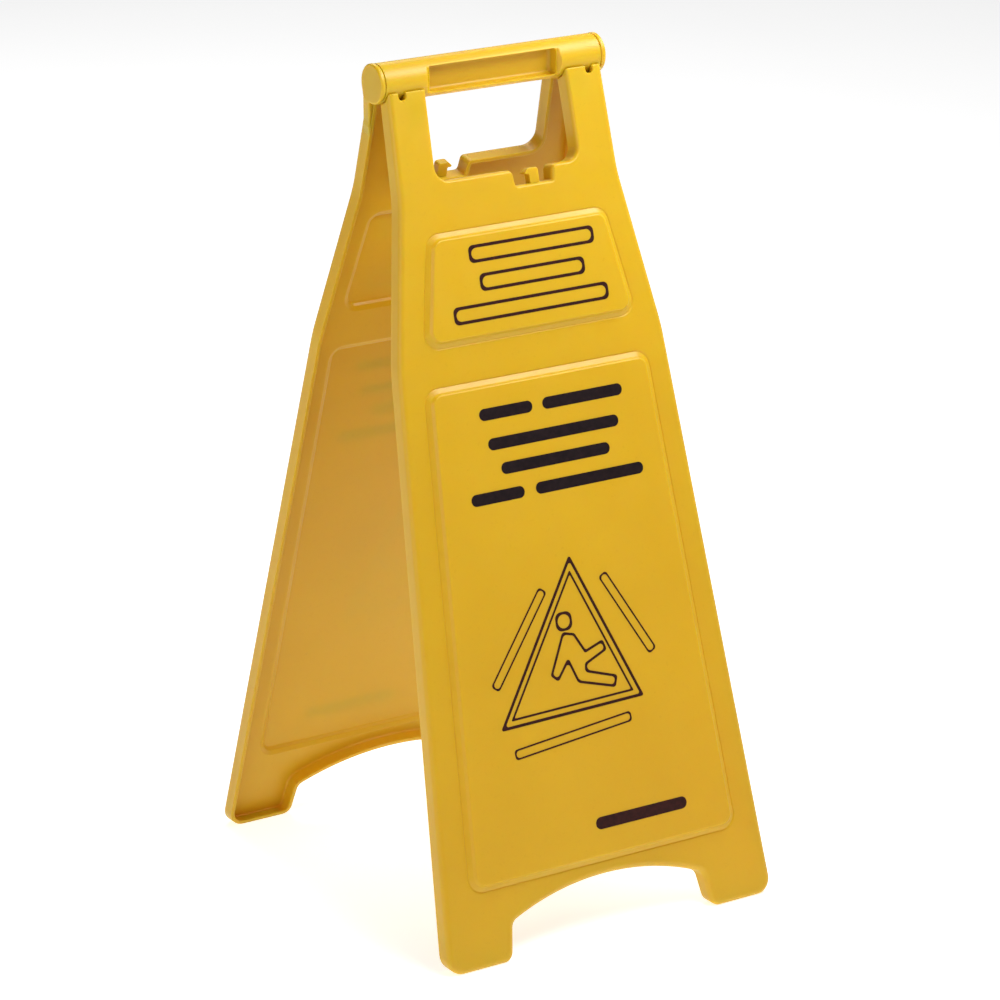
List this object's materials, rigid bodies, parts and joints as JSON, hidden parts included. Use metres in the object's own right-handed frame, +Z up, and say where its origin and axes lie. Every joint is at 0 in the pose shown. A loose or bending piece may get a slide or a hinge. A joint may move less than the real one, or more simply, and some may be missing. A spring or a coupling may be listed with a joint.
{
  "type": "folding wet floor sign",
  "caption": "A-frame floor safety sign: flanged tray leaves with raised panels, arched feet and chain hooks, hinged on a round carrying handle.",
  "frame": {"origin": "on the floor, midway between the four feet, straight below the hinge axis", "axes": "+Z up; +X along the handle bar, to the right when the front leaf is faced; +Y towards the rear leaf"},
  "size_m": [0.279, 0.3404, 0.6229],
  "materials": {
    "leaf_plastic": "moulded yellow polypropylene, semi-gloss",
    "bar_plastic": "moulded yellow polypropylene, semi-gloss",
    "pin_plastic": "moulded yellow polypropylene, semi-gloss"
  },
  "bodies": {
    "front": {"front_leaf": "leaf_plastic", "handle_bar": "bar_plastic"},
    "rear": {"rear_leaf": "leaf_plastic", "left_hinge_pin": "pin_plastic", "right_hinge_pin": "pin_plastic"}
  },
  "joints": [
    {"name": "leaf_fold", "type": "hinge", "parent": "front", "child": "rear", "pos_m": [0, 0, 0.60837], "axis": [-1, 0, 0], "range_deg": [0, 28.8]}
  ]
}
